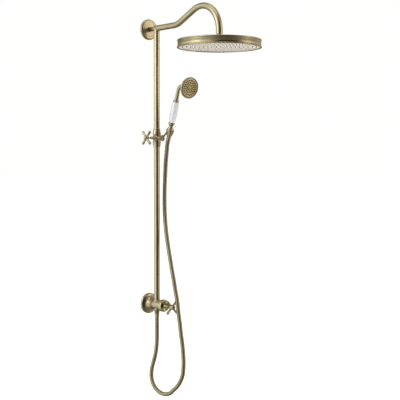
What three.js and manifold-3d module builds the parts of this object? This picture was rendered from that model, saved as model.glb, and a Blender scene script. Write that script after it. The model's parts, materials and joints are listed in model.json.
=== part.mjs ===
// Rainfall shower column: a wall-fed diverter valve, a riser with a swan-neck arm and a rain head,
// a sliding holder with a clamp knob, a hand shower with a porcelain grip, and its metal hose.
// Millimetres, +Z up. The wall is the plane y = 0 and the column stands out from it along -Y.
// The origin is the centre of the valve's rose, where the water pipe comes out of the wall.
import * as THREE from 'three';
import { mergeVertices } from 'three/addons/utils/BufferGeometryUtils.js';
import Module from 'manifold-3d';

const wasm = await Module();
wasm.setup();

// Driving dimensions
const wallToRiser = 53; // from the wall to the riser's centre line
const roseSpacing = 1067; // from the lower rose to the upper one
const roseRadius = 40;
const riserRadius = 11.2;
const riserBore = 9.9;
const armReach = 420; // from the wall to the rain head's centre
const armRadius = 11.2;
const armEndRadius = 12.3; // the arm swells slightly past its crest
const armBore = 9;
const armRun = 158; // where the arm's level run starts to rise
const armBend = 100; // radius of both bends
const armSlope = THREE.MathUtils.degToRad(24.5);
const ballHeight = 1000; // centre of the swivel ball
const ballRadius = 9;
const headRadius = 152;
const headTop = 988;
const headBottom = 959;
const bodyRadius = 18; // valve body
const bodyEnd = 85.5; // the valve body's front face, from the wall
const crossReach = 34; // from a cross handle's centre to the tip of an arm
const handlePlane = 147; // the diverter handle's arms, from the wall
const sliderHeight = 645;
const holderSide = 30; // the hand shower hangs this far to the side of the riser
const handsetLean = THREE.MathUtils.degToRad(18.3);
const handsetFoot = [holderSide, -89.1, 645.2]; // where the hand shower's axis starts
const faceTilt = THREE.MathUtils.degToRad(12); // the spray face looks down by this much
const faceRadius = 40.5;
const neckBend = 22;
const neckCorner = 208.4; // along the hand shower's axis, where its line meets the face's axis
const faceOffset = 65.8; // from that corner to the spray face
const hoseRadius = 8;
const gap = 0.3; // clearance between neighbouring pieces

// Sides of a turned piece, by its size
const large = 28;
const wide = 20;
const medium = 14;
const small = 10;

// Finishes
const finish = (color, roughness, metalness) =>
  new THREE.MeshStandardMaterial({ color, roughness, metalness });
const brass = finish(0xa49464, 0.38, 1);
const darkBrass = finish(0x6e6240, 0.42, 1);
const porcelain = finish(0xf2f1ee, 0.12, 0);
const sprayPlate = finish(0xd9d6cc, 0.3, 0.6);
const silicone = finish(0x3b3a36, 0.7, 0);
const rubber = finish(0x26241f, 0.8, 0);
const nylon = finish(0xe4e0d4, 0.6, 0);
const ceramic = finish(0xfafafa, 0.3, 0);
const fibre = finish(0x7a4a32, 0.9, 0);
const steel = finish(0xb9bbbd, 0.35, 1);

// Closed triangle mesh with shared corners, faces pointing out
function closed(geometry) {
  const bare = geometry.index ? geometry.toNonIndexed() : geometry.clone();
  bare.deleteAttribute('normal');
  bare.deleteAttribute('uv');
  const merged = mergeVertices(bare, 1e-3);
  const place = merged.getAttribute('position');
  const corner = [0, 1, 2].map(() => new THREE.Vector3());
  const kept = [];
  let volume = 0;
  for (let i = 0; i < merged.index.count; i += 3) {
    const ids = [0, 1, 2].map((k) => merged.index.getX(i + k));
    if (new Set(ids).size < 3) continue;
    ids.forEach((id, k) => corner[k].fromBufferAttribute(place, id));
    volume += corner[0].dot(corner[1].cross(corner[2]));
    kept.push(ids);
  }
  if (volume < 0) kept.forEach((ids) => ids.reverse());
  merged.setIndex(kept.flat());
  return merged;
}

function toSolid(geometry) {
  const shape = closed(geometry);
  const numProp = 3;
  const vertProperties = new Float32Array(shape.getAttribute('position').array);
  const triVerts = new Uint32Array(shape.index.array);
  return new wasm.Manifold(new wasm.Mesh({ numProp, vertProperties, triVerts }));
}

function fromSolid(solid) {
  const { vertProperties, triVerts } = solid.getMesh();
  const geometry = new THREE.BufferGeometry();
  geometry.setAttribute('position', new THREE.BufferAttribute(vertProperties, 3));
  geometry.setIndex(new THREE.BufferAttribute(triVerts, 1));
  return geometry;
}

// First geometry joined with the others in add, less those in cut
function carve(base, add = [], cut = []) {
  let solid = toSolid(base);
  for (const piece of add) solid = solid.add(toSolid(piece));
  for (const piece of cut) solid = solid.subtract(toSolid(piece));
  return fromSolid(solid);
}

// Closed outline of [radius, height] points turned about +Z
function turned(outline, sides = medium) {
  const points = outline.map(([r, h]) => new THREE.Vector2(r, h));
  if (THREE.ShapeUtils.area(points) < 0) points.reverse();
  points.push(points[0].clone());
  return new THREE.LatheGeometry(points, sides).rotateX(Math.PI / 2);
}

const ring = (inner, outer, low, high, sides) =>
  turned([[inner, low], [outer, low], [outer, high], [inner, high]], sides);
const rod = (radius, low, high, sides) => ring(0, radius, low, high, sides);

// Turn a piece made along +Z so that it runs along another axis
const outward = (geometry) => geometry.rotateX(Math.PI / 2); // +Z to -Y
const toLeft = (geometry) => geometry.rotateY(-Math.PI / 2); // +Z to -X
const toRight = (geometry) => geometry.rotateY(Math.PI / 2); // +Z to +X

function circle(radius, sides) {
  const turn = (2 * Math.PI) / sides;
  const points = [];
  for (let i = 0; i < sides; i++) {
    points.push(new THREE.Vector2(radius * Math.cos(i * turn), radius * Math.sin(i * turn)));
  }
  return points;
}

// Tube of a round section along a curve, open through its bore when it has one
function tube(curve, steps, radius, sides, bore = 0, boreSides = 10) {
  const section = new THREE.Shape(circle(radius, sides));
  if (bore) section.holes.push(new THREE.Path(circle(bore, boreSides)));
  return new THREE.ExtrudeGeometry(section, { steps, extrudePath: curve });
}

// Arc in a plane of constant x: centre, radius, and angles from +Z towards -Y
class SideArc extends THREE.Curve {
  constructor(x, y, z, radius, from, to) {
    super();
    Object.assign(this, { x, y, z, radius, from, to });
  }

  getPoint(t, target = new THREE.Vector3()) {
    const angle = this.from + t * (this.to - this.from);
    const out = this.radius * Math.sin(angle);
    const up = this.radius * Math.cos(angle);
    return target.set(this.x, this.y - out, this.z + up);
  }
}

const line = (from, to) => new THREE.LineCurve3(new THREE.Vector3(...from), new THREE.Vector3(...to));

function path(...curves) {
  const whole = new THREE.CurvePath();
  curves.forEach((curve) => whole.add(curve));
  return whole;
}

const column = new THREE.Group();

// A group at a place, turned about X, that pieces are put in
function station(x, y, z, turn = 0, parent = column) {
  const group = new THREE.Group();
  group.position.set(x, y, z);
  group.rotation.x = turn;
  parent.add(group);
  return group;
}

function piece(parent, name, geometry, material) {
  const mesh = new THREE.Mesh(geometry, material.clone());
  mesh.name = name;
  parent.add(mesh);
}

// Cross handle about +Z: a hub outline with four club-shaped arms in the plane z = plane
function crossHandle(hub, plane, bores) {
  const club = [[0, 3], [3.3, 3], [3.2, 16], [4.5, 29], [3.2, crossReach], [0, crossReach]];
  const arms = [45, 135, 225, 315].map((angle) =>
    turned(club, small)
      .rotateX(-Math.PI / 2)
      .rotateZ(THREE.MathUtils.degToRad(angle))
      .translate(0, 0, plane)
  );
  return carve(turned(hub, medium), arms, bores);
}

// ---- Upper support: plate, stem, rose and the tee on the riser's top ----
const upper = station(0, 0, roseSpacing, Math.PI / 2); // local z runs out from the wall
const plateHoles = [-17, 17].map((x) => rod(2.7, -1, 6, small).translate(x, 0, 0));
const plate = turned([[0, 0], [26, 0], [26, 4], [5, 4], [5, 20], [0, 20]], medium);
piece(upper, 'upper_wall_plate', carve(plate, [], plateHoles), steel);
const upperRose = [
  [37.5, 0], [roseRadius, 0], [roseRadius, 3.5], [38.8, 7], [36, 9.3], [33.5, 10],
  [8.4, 10], [8.4, 8], [32.5, 8], [36.3, 5.8], [37.5, 3],
];
piece(upper, 'upper_wall_rose', turned(upperRose, wide), brass);
const stem = [[5.3, 4.3], [8, 4.3], [8, 41.1], [5, 41.1], [5, 45.5], [0, 45.5], [0, 22], [5.3, 22]];
const grubHole = rod(2.2, -9, 0, small).rotateX(-Math.PI / 2).translate(0, 0, 15);
piece(upper, 'upper_stem', carve(turned(stem, medium), [], [grubHole]), brass);
const grubScrew = rod(1.9, -7.7, -5.3, small).rotateX(-Math.PI / 2).translate(0, 0, 15);
piece(upper, 'stem_grub_screw', grubScrew, steel);

const stubEnd = -15; // the joint line between tee and riser, below the tee's axis
const teeStub = turned([
  [0, 0], [riserRadius, 0], [riserRadius, stubEnd], [9, stubEnd], [9, -20], [7.3, -20],
  [7.3, -22.8], [9, -22.8], [9, -30], [0, -30],
], medium).translate(0, -wallToRiser, 0);
const teeBarrel = outward(turned([[0, 41.4], [10.4, 41.4], [11.4, 42.4], [11.4, 66], [0, 66]], medium));
const teeBores = [
  outward(rod(5.3, 41, 50, small)),
  outward(rod(8.9, 45.8, 67, small)),
  rod(6.3, -31, 0, small).translate(0, -wallToRiser, 0),
];
const corner = station(0, 0, roseSpacing);
piece(corner, 'riser_tee', carve(teeBarrel, [teeStub], teeBores), brass);
const teeSeal = new THREE.TorusGeometry(8.6, 1, 6, medium).translate(0, 0, -21.4);
piece(station(0, -wallToRiser, 0, 0, corner), 'tee_o_ring', teeSeal, rubber);

// ---- Riser and swan-neck arm ----
const riser = station(0, -wallToRiser, 0);
piece(riser, 'riser_pipe', ring(riserBore, riserRadius, 8.3, roseSpacing + stubEnd - gap, medium), brass);
piece(riser, 'riser_washer', ring(8.2, 11.1, 6.8, 8, medium), fibre);
piece(corner, 'arm_nipple', outward(ring(6.2, 8, 54, 84, small)), brass);

const armEnd = ballHeight + 9.5;
const crestOut = armReach - armBend;
const riseStart = armRun + armBend * Math.sin(armSlope);
const riseStartUp = roseSpacing + armBend * (1 - Math.cos(armSlope));
const riseEnd = crestOut - armBend * Math.sin(armSlope);
const riseEndUp = riseStartUp + (riseEnd - riseStart) * Math.tan(armSlope);
const bendCentre = riseEndUp - armBend * Math.cos(armSlope);
const armPath = path(
  line([0, -66.3, roseSpacing], [0, -armRun, roseSpacing]),
  new SideArc(0, -armRun, roseSpacing + armBend, armBend, Math.PI, Math.PI - armSlope),
  line([0, -riseStart, riseStartUp], [0, -riseEnd, riseEndUp]),
  new SideArc(0, -crestOut, bendCentre, armBend, -armSlope, Math.PI / 2),
  line([0, -armReach, bendCentre], [0, -armReach, armEnd])
);

// Widens a tube about its path, smoothly, between two shares of the path's length
function swell(geometry, curve, steps, factor, from, to) {
  const centres = curve.getSpacedPoints(steps);
  const place = geometry.getAttribute('position');
  const point = new THREE.Vector3();
  for (let i = 0; i < place.count; i++) {
    point.fromBufferAttribute(place, i);
    let nearest = 0;
    centres.forEach((centre, k) => {
      if (centre.distanceTo(point) < centres[nearest].distanceTo(point)) nearest = k;
    });
    const share = THREE.MathUtils.smoothstep(nearest / steps, from, to);
    const centre = centres[nearest];
    point.sub(centre).multiplyScalar(1 + (factor - 1) * share).add(centre);
    place.setXYZ(i, point.x, point.y, point.z);
  }
  return geometry;
}

const armSteps = 26;
const armTube = tube(armPath, armSteps, armRadius, 12, armBore, 8);
const swellFactor = armEndRadius / armRadius;
piece(column, 'swan_neck_arm', swell(armTube, armPath, armSteps, swellFactor, 0.5, 0.7), brass);

// ---- Rain head on its swivel ball ----
const head = station(0, -armReach, 0);
const ball = [];
for (let degrees = 40; degrees <= 157; degrees += 19.5) {
  const angle = THREE.MathUtils.degToRad(degrees);
  ball.push([ballRadius * Math.sin(angle), ballHeight + ballRadius * Math.cos(angle)]);
}
const ballStem = [[3.5, 1026], [8.8, 1026], [8.8, 1012], [5.8, 1009.5], ...ball, [3.5, ballHeight - 8.29]];
piece(head, 'swivel_ball', turned(ballStem, medium), brass);
const ballSeat = [[6.8, 993.5], [11.9, 993.5], [11.9, 996.8], [8.9, 996.8], [7.9, 995]];
piece(head, 'ball_seat', turned(ballSeat, medium), nylon);
const ballNut = [
  [12.4, 991.4], [15, 991.4], [15, 1000.5], [11.5, 1004.2], [8.6, 1004.2], [9.4, 1001],
  [9.6, 998.5], [12.4, 997.2],
];
piece(head, 'ball_nut', turned(ballNut, medium), brass);
const headShell = [
  [147.6, 963.5], [149.6, 963.5], [149.6, 973], [148.4, 974.5], [149.6, 976.5], [149.4, 982],
  [150, 984], [149, 987], [146, headTop], [22, headTop], [20, 991], [12, 991], [12, 993.2],
  [9.5, 993.2], [9.5, 986.4], [145.5, 986.4], [147.6, 982],
];
piece(head, 'head_shell', turned(headShell, large), brass);
const rimRing = [
  [145, headBottom], [151, headBottom], [headRadius, 960.2], [150.3, 963.2], [147.4, 963.2],
  [147.4, 962.2], [145, 962.2],
];
piece(head, 'head_rim_ring', turned(rimRing, large), brass);
piece(head, 'head_face_plate', rod(147, 962.5, 964.3, large), sprayPlate);
piece(head, 'head_nozzle_mat', rod(140.6, 964.7, 966.8, large), silicone);
piece(head, 'head_gasket', ring(141.4, 147, 964.7, 966.8, large), rubber);
piece(head, 'head_chamber_plate', ring(6, 147, 967.2, 968.4, large), nylon);

// ---- Diverter valve ----
const valve = station(0, 0, 0, Math.PI / 2); // local z runs out from the wall
const lowerRose = [
  [37.5, 0], [roseRadius, 0], [roseRadius, 4], [38.6, 7.5], [35, 9.5], [29, 12.5], [24, 17.5],
  [20.9, 24.5], [19.8, 32], [19.6, 38], [18.5, 38], [18.5, 32], [19.4, 24.5], [22.4, 16.8],
  [28, 11.2], [34, 8], [36.6, 5.8], [37.5, 3],
];
piece(valve, 'lower_wall_rose', turned(lowerRose, wide), brass);
piece(valve, 'inlet_nipple', ring(7.4, 10.3, 0, 34, medium), brass);
piece(valve, 'inlet_washer', ring(7.4, 10.3, 34.3, 36, medium), fibre);

const bodyOutline = [[0, 24], [17, 24], [bodyRadius, 25], [bodyRadius, bodyEnd], [0, bodyEnd]];
const outletBoss = rod(10.8, -21, 0, medium).translate(0, -wallToRiser, 0);
const bodyBores = [
  outward(rod(10.7, 23, 36.4, medium)),
  outward(rod(6, 30, 67, small)),
  outward(rod(14.2, 66, bodyEnd + 1, medium)),
  rod(riserRadius + gap, 6.5, 20, medium).translate(0, -wallToRiser, 0),
  rod(5.1, -8, 8, small).translate(0, -wallToRiser, 0),
  rod(8.9, -22, -6.6, medium).translate(0, -wallToRiser, 0),
];
const valveBody = carve(outward(turned(bodyOutline, medium)), [outletBoss], bodyBores);
piece(column, 'diverter_body', valveBody, brass);
piece(valve, 'cartridge_shell', ring(4.8, 13.9, 69.9, 83, medium), nylon);
const discPort = rod(2.5, 65, 71, small).translate(8, 0, 0);
piece(valve, 'ceramic_disc', carve(rod(13.6, 66.4, 69.5, medium), [], [discPort]), ceramic);
const glandNut = [
  [4.8, 83.3], [13.9, 83.3], [13.9, 85.8], [17.4, 85.8], [17.4, 89], [9, 89], [9, 94], [4.8, 94],
];
piece(valve, 'gland_nut', turned(glandNut, medium), brass);
const bonnet = [
  [19, 86], [22.3, 86], [23.5, 88.5], [23.5, 100], [22.4, 103.2], [19.5, 105], [16.5, 104],
  [14, 101.6], [9.3, 100.8], [9.3, 98.5], [19, 98.5],
];
piece(valve, 'bonnet_ring', turned(bonnet, medium), brass);
const spindle = [[0, 69.8], [4.5, 69.8], [4.5, 126], [3.6, 126], [3.6, 138], [0, 138]];
piece(valve, 'diverter_spindle', turned(spindle, small), brass);
const handleHub = [
  [0, 103], [8.9, 103], [9.2, 106], [7.2, 114], [6.4, 124], [7, 134], [9.2, 141], [9.9, 147],
  [9.2, 153], [8, 156], [0, 156],
];
const handleBores = [
  rod(4.9, 102, 126.3, small),
  rod(3.9, 126, 138.5, small),
  rod(2.6, 138, 151, small),
  rod(5, 150, 157, small),
];
piece(valve, 'diverter_handle', crossHandle(handleHub, handlePlane, handleBores), brass);
const handleScrew = [[0, 138.9], [2.2, 138.9], [2.2, 150.4], [4.2, 150.4], [4.2, 152.6], [0, 152.6]];
piece(valve, 'handle_screw', turned(handleScrew, small), steel);
const handleCap = [[0, 153], [4.6, 153], [4.6, 156.4], [7.8, 156.4], [7.4, 158.4], [5, 160], [0, 160.6]];
piece(valve, 'handle_cap', turned(handleCap, medium), brass);

const outlet = station(0, -wallToRiser, 0);
const outletCollar = [
  [5.5, -9], [8.5, -9], [8.5, -21.3], [9.9, -21.3], [9.9, -30], [9.2, -32], [9.2, -34.6], [5.5, -34.6],
];
piece(outlet, 'outlet_collar', turned(outletCollar, medium), darkBrass);

// ---- Hose ----
const lowerNut = [
  [7.7, -34.9], [9.2, -34.9], [9.2, -44], [8.4, -52], [4.5, -52], [4.5, -37.2], [7.7, -37.2],
];
piece(outlet, 'hose_lower_nut', turned(lowerNut, medium), brass);
piece(outlet, 'hose_lower_washer', ring(5, 7.4, -36.9, -34.9, small), rubber);

// Centre line of the hose from the valve's outlet to the hand shower
const hoseRoute = [
  [0, -53, -52.3], [0, -53, -80], [0, -53, -110], [-1, -53.5, -140], [-3, -53, -168],
  [-5, -48.5, -196], [-8, -41, -224.5], [-10, -33, -251], [-11, -32.5, -286.5], [-11, -45, -312],
  [-9, -61.5, -328], [-6, -80.5, -337], [-3, -106, -339.5], [0, -131.5, -332], [2, -154.5, -315],
  [4, -174.5, -297.5], [6, -190, -276.5], [8, -200.5, -254], [9, -204.5, -228], [10, -204.5, -198],
  [10, -202, -168], [10, -197, -135], [9, -190.5, -99], [9, -184, -62], [8, -177.5, -25],
  [8, -167.5, 30], [9, -155.5, 67], [10, -145, 103], [12, -131.5, 140], [14, -117, 184],
  [19.5, -97.5, 232], [23.5, -80.5, 289], [28, -67.5, 346], [31, -61.5, 404], [34, -59, 462],
  [35.5, -61, 518], [33, -68, 560], [30, -77.2, 595],
];
const alongHandset = (s) => [
  handsetFoot[0],
  handsetFoot[1] - s * Math.sin(handsetLean),
  handsetFoot[2] + s * Math.cos(handsetLean),
];
const hoseTop = [alongHandset(-26), alongHandset(-8 - gap)];
const hosePoints = [...hoseRoute, ...hoseTop].map((point) => new THREE.Vector3(...point));
const hosePath = new THREE.CatmullRomCurve3(hosePoints, false, 'centripetal');
hosePath.arcLengthDivisions = 2000;
piece(column, 'hose', tube(hosePath, 46, hoseRadius, 8), darkBrass);

// ---- Sliding holder ----
const slider = station(0, -wallToRiser, sliderHeight);
piece(slider, 'slider_bush', ring(11.5, 12.6, -21.5, 21.5, medium), nylon);
const sleeve = [
  [0, -36], [12.9, -36], [13.4, -31], [14.8, -23], [15.6, -15], [14.8, -8], [14.8, 8], [15.6, 15],
  [14.8, 23], [13.4, 31], [12.9, 36], [0, 36],
];
const clampCone = [[0, 8], [7.6, 8], [6.6, 15], [5.4, 21], [4.6, 28], [4.4, 32], [0, 32]];
const clampBoss = toLeft(turned(clampCone, small));
const crossBoss = toLeft(rod(7.2, -13, 12, medium)).translate(0, -9.8, 0); // in front of the pipe
const pivotBoss = toRight(rod(8.8, 8, 22, medium));
const sliderBores = [
  rod(11.9, -37, 37, medium),
  rod(13.3, -21.8, 21.8, medium),
  toLeft(rod(3.2, 10, 33, small)),
  toRight(rod(2.8, 10, 23, small)),
];
const sliderBody = carve(turned(sleeve, medium), [clampBoss, crossBoss, pivotBoss], sliderBores);
piece(slider, 'slider_body', sliderBody, brass);
piece(slider, 'clamp_pad', toLeft(rod(2.9, 12.9, 14.2, small)), nylon);
piece(slider, 'clamp_screw', toLeft(rod(2.9, 14.5, 45, small)), steel);
const knobHub = [
  [0, 40.4], [5, 40.4], [6.6, 43], [9.2, 46.5], [9.8, 50], [9.2, 54], [7.4, 56.4], [0, 56.4],
];
const knobBores = [rod(3.2, 40, 45.3, small), rod(3.3, 52, 57, small)];
piece(slider, 'clamp_knob', toLeft(crossHandle(knobHub, 50, knobBores)), brass);
const knobCap = [[0, 52.4], [3, 52.4], [3, 56.7], [7, 56.7], [6.4, 58.8], [4, 60.2], [0, 60.7]];
piece(slider, 'knob_cap', toLeft(turned(knobCap, small)), brass);
piece(slider, 'friction_washer', toRight(ring(3.3, 9.2, 22.3, 23.7, medium)), nylon);
const pivotScrew = [
  [0, 14.5], [2.5, 14.5], [2.5, 31.3], [6.4, 31.3], [6, 33.6], [3.6, 35], [0, 35.4],
];
piece(slider, 'pivot_screw', toRight(turned(pivotScrew, small)), brass);

// Arm and cradle, cast in one: a disc on the pivot, a strut, and a cone that is open in front
const disc = toRight(turned([[0, 24], [11, 24], [12.2, 25.2], [12.2, 29.8], [11, 31], [0, 31]], medium));
disc.translate(0, -wallToRiser, sliderHeight);
const intoPlace = (geometry) => geometry.rotateX(handsetLean).translate(...handsetFoot);
const strutAngle = THREE.MathUtils.degToRad(52); // from the vertical, leaning out
const strut = rod(3.3, 7, 42, small).rotateX(strutAngle).translate(27.5, -wallToRiser, sliderHeight);
const cone = turned([[0, 8], [10.7, 8], [15.3, 30], [15.3, 31], [0, 31]], medium);
const coneBore = turned([[0, 7], [8.93, 7], [13.28, 32], [0, 32]], medium);
const coneMouth = new THREE.BoxGeometry(16.6, 20, 30).translate(0, -13, 20);
const cradle = carve(disc, [strut, intoPlace(cone)], [
  intoPlace(coneBore),
  intoPlace(coneMouth),
  toRight(rod(3.2, 20, 32, small)).translate(0, -wallToRiser, sliderHeight),
]);
piece(column, 'cradle', cradle, brass);

// ---- Hand shower: local z runs up its handle from the hose nut ----
const handset = station(...handsetFoot, handsetLean);
const upperNut = [
  [4.5, -8], [8.4, -8], [8.4, 6], [8.8, 8], [12.1, 27], [7, 27], [7, 14], [4.5, 14],
];
piece(handset, 'hose_upper_nut', turned(upperNut, medium), brass);
piece(handset, 'hose_upper_washer', ring(4.6, 6.7, 14.3, 15.8, small), rubber);
const spigot = [
  [4, 16.1], [6.7, 16.1], [6.7, 27.3], [11.2, 27.3], [11.8, 31.3], [14.7, 31.3], [14.7, 33],
  [11.6, 37.5], [8.7, 42], [7.2, 47.7], [4, 47.7],
];
piece(handset, 'handset_spigot', turned(spigot, medium), brass);
const lowerCollar = [[6.2, 48], [7.4, 48], [8.6, 51], [11.4, 54.5], [12.2, 58], [11.6, 60], [6.2, 60]];
piece(handset, 'handset_lower_collar', turned(lowerCollar, medium), brass);
piece(handset, 'grip_seal_lower', ring(6.3, 10.2, 60.3, 61, medium), rubber);
const grip = [
  [6.3, 61.3], [10.3, 61.3], [11.7, 66], [13.4, 80], [14.2, 98], [13.8, 116], [12.3, 134],
  [10.5, 143.7], [6.3, 143.7],
];
piece(handset, 'porcelain_grip', turned(grip, medium), porcelain);
piece(handset, 'grip_seal_upper', ring(6.3, 10.2, 144, 144.7, medium), rubber);
const upperCollar = [
  [6.2, 145], [10.8, 145], [11.4, 146.6], [10.6, 148.8], [8.6, 151.5], [7.7, 155], [7.4, 157], [6.2, 157],
];
piece(handset, 'handset_upper_collar', turned(upperCollar, medium), brass);
piece(handset, 'handset_inner_tube', ring(4.3, 5.9, 48, 156.9, small), brass);

const neckTurn = Math.PI / 2 + faceTilt - handsetLean; // from the handle's axis to the face's axis
const neckTangent = neckBend * Math.tan(neckTurn / 2);
const bendStart = neckCorner - neckTangent;
const faceAxis = (w) => [0, -w * Math.sin(neckTurn), neckCorner + w * Math.cos(neckTurn)];
const neckPath = path(
  line([0, 0, 157.3], [0, 0, bendStart]),
  new SideArc(0, -neckBend, bendStart, neckBend, -Math.PI / 2, neckTurn - Math.PI / 2),
  line(faceAxis(neckTangent), faceAxis(33.5))
);
piece(handset, 'handset_neck', tube(neckPath, 10, 7, 12, 5, 6), brass);

const spray = station(0, 0, neckCorner, neckTurn, handset); // local z runs to the spray face
const sprayShell = [
  [5, 33.8], [7.8, 33.8], [9, 37], [14, 43], [24, 49], [34, 54], [39.4, 58], [faceRadius, 60.5],
  [faceRadius, 64.6], [39.6, faceOffset], [37.4, faceOffset], [37.4, 59.2], [33, 56], [23, 51],
  [12.5, 45], [7, 40],
];
piece(spray, 'handset_shell', turned(sprayShell, wide), brass);
piece(spray, 'handset_gasket', ring(33.5, 36.5, 59.6, 60.8, medium), rubber);
piece(spray, 'handset_nozzle_mat', ring(2, 36.5, 61.1, 63.2, medium), silicone);
piece(spray, 'handset_face_plate', ring(2, 36.5, 63.5, 65.1, medium), brass);
const faceScrew = [[0, 61.4], [1.6, 61.4], [1.6, 65.4], [3.4, 65.4], [2.6, 66.6], [0, 67]];
piece(spray, 'handset_face_screw', turned(faceScrew, small), brass);

export default column;
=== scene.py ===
import json
import math

import bpy
from mathutils import Matrix, Vector


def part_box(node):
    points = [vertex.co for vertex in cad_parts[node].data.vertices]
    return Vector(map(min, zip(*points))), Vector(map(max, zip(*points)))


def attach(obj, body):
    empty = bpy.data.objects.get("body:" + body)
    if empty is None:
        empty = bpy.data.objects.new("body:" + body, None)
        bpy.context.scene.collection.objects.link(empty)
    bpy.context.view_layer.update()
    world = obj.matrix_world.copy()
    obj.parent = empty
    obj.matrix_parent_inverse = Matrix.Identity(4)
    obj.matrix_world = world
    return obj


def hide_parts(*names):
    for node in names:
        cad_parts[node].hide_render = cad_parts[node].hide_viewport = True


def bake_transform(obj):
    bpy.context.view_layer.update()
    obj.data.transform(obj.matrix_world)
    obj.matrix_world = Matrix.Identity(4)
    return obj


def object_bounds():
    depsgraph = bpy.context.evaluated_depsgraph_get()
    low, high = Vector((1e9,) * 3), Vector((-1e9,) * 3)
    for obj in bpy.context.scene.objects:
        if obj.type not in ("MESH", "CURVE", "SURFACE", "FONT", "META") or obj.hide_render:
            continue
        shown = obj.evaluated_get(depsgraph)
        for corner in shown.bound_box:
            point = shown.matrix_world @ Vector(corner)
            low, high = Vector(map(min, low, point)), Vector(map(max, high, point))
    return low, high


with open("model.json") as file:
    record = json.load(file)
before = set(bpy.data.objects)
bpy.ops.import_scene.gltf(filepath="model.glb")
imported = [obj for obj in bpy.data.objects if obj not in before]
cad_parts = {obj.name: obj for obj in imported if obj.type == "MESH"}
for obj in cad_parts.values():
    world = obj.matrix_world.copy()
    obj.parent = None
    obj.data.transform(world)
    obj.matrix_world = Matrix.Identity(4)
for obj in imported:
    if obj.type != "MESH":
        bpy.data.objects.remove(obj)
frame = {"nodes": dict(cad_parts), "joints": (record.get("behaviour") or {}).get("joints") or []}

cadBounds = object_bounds()
mm = 0.001
joints = {joint["name"]: joint for joint in frame["joints"]}


def middle(node):
    low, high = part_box(node)
    return (low + high) / 2


roseHeight = middle("upper_wall_rose").z
riserAt = middle("riser_pipe")
headSpin = Vector(joints["head_spin"]["pos_m"])
holderPivot = Vector(joints["holder_swivel"]["pos_m"])
knobAt = Vector(joints["clamp_turn"]["pos_m"])
handleAt = Vector(joints["diverter_turn"]["pos_m"])
handsetFoot = Vector(joints["handset_spin"]["pos_m"])
handsetAxis = Vector(joints["handset_spin"]["axis"]).normalized()
handsetLean = math.atan2(-handsetAxis.y, handsetAxis.z)


camera = {
    "azimuth": 40.0,  # degrees, turned right from looking straight at the wall
    "distance": 3.685,  # from the riser, along the view
    "aside": 0.1669,  # the view's middle stands this far right of the riser
    "height": 0.5622,
    "pitch": 1.238,  # degrees down from level
    "lens": 85.79,
    "shift": -0.05,
}


def setCamera():
    turn = math.radians(camera["azimuth"])
    ahead = Vector((math.sin(turn), math.cos(turn), 0))
    right = Vector((math.cos(turn), -math.sin(turn), 0))
    place = Vector((riserAt.x, riserAt.y, 0)) - ahead * camera["distance"] + right * camera["aside"]
    data = bpy.data.cameras.new("camera")
    data.lens = camera["lens"]
    data.sensor_width = 36
    data.shift_y = camera["shift"]
    data.clip_end = 60
    item = bpy.data.objects.new("camera", data)
    item.location = (place.x, place.y, camera["height"])
    item.rotation_euler = (math.radians(90 - camera["pitch"]), 0, -turn)
    bpy.context.scene.collection.objects.link(item)
    bpy.context.scene.camera = item
    return ahead, right


ahead, aside = setCamera()
print("camera set")


def nodeIn(tree, kind, **values):
    node = tree.nodes.new(kind)
    for key, value in values.items():
        setattr(node, key, value)
    return node


def feed(tree, socket, source):
    if isinstance(source, (int, float, tuple)):
        socket.default_value = source
    else:
        tree.links.new(source, socket)


def maths(tree, operation, first, second=0.0):
    node = nodeIn(tree, "ShaderNodeMath", operation=operation)
    feed(tree, node.inputs[0], first)
    feed(tree, node.inputs[1], second)
    return node.outputs[0]


def ramp(tree, value, low, high, toLow=0.0, toHigh=1.0):
    node = nodeIn(tree, "ShaderNodeMapRange", interpolation_type="SMOOTHSTEP")
    feed(tree, node.inputs["Value"], value)
    node.inputs["From Min"].default_value = low
    node.inputs["From Max"].default_value = high
    feed(tree, node.inputs["To Min"], toLow)
    feed(tree, node.inputs["To Max"], toHigh)
    return node.outputs["Result"]


def mixed(tree, share, first, second):
    node = nodeIn(tree, "ShaderNodeMix", data_type="RGBA")
    feed(tree, node.inputs["Factor"], share)
    feed(tree, node.inputs["A"], first)
    feed(tree, node.inputs["B"], second)
    return node.outputs["Result"]


def noise(tree, place, scale, detail=3.0, roughness=0.55):
    node = nodeIn(tree, "ShaderNodeTexNoise")
    feed(tree, node.inputs["Vector"], place)
    feed(tree, node.inputs["Scale"], scale)
    node.inputs["Detail"].default_value = detail
    node.inputs["Roughness"].default_value = roughness
    return node.outputs["Fac"]


def newGroup(name, inputs, outputs):
    group = bpy.data.node_groups.new(name, "ShaderNodeTree")
    for label, kind, value in inputs:
        socket = group.interface.new_socket(label, in_out="INPUT", socket_type=kind)
        socket.default_value = value
    for label, kind in outputs:
        group.interface.new_socket(label, in_out="OUTPUT", socket_type=kind)
    return group, group.nodes.new("NodeGroupInput").outputs, group.nodes.new("NodeGroupOutput").inputs


color = "NodeSocketColor"
number = "NodeSocketFloat"
vector = "NodeSocketVector"


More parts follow.
